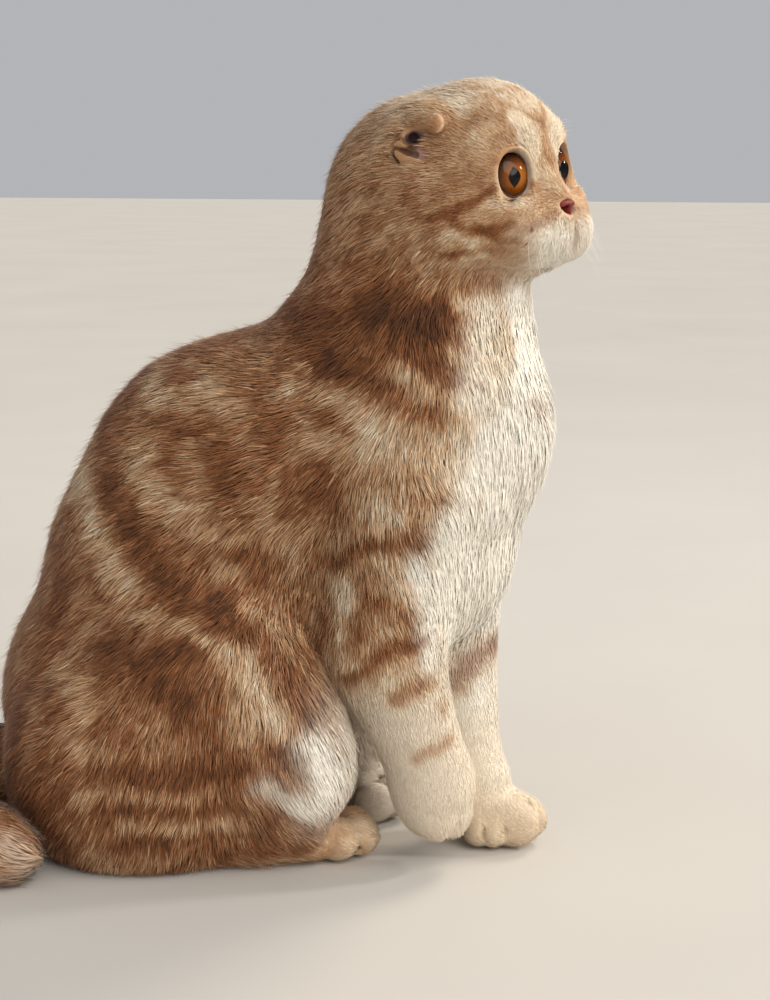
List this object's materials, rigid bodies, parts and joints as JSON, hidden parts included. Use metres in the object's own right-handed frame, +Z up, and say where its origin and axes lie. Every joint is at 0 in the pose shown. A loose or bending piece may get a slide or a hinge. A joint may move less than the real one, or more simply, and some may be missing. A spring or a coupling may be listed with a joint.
{
  "type": "scottish fold cat figure",
  "caption": "Life-size still figure of a seated red tabby scottish fold cat with folded ears, its head turned aside and its right forepaw raised.",
  "frame": {"origin": "on the floor, at the middle of the flat under the rump that the cat sits on", "axes": "+X forwards, the way the cat's body faces; +Y to the cat's left; +Z up"},
  "size_m": [0.3412, 0.2234, 0.3573],
  "materials": {
    "red_coat": "short dense plush fur, red tabby",
    "cream_coat": "short dense plush fur, cream",
    "eye": "clear and wet, amber iris",
    "nose_skin": "bare brick-pink skin, satin"
  },
  "bodies": {
    "root": {"head": "red_coat", "muzzle": "cream_coat", "nose": "nose_skin", "ear_right": "red_coat", "ear_left": "red_coat", "eye_right": "eye", "eye_left": "eye", "neck": "red_coat", "chest": "cream_coat", "belly": "red_coat", "rump": "red_coat", "upper_arm_right": "red_coat", "forearm_right": "cream_coat", "forepaw_right": "cream_coat", "upper_arm_left": "red_coat", "forearm_left": "cream_coat", "forepaw_left": "cream_coat", "thigh_right": "red_coat", "thigh_left": "red_coat", "hind_foot_right": "cream_coat", "hind_foot_left": "cream_coat", "tail_base": "red_coat", "tail_tip": "cream_coat"}
  },
  "joints": []
}
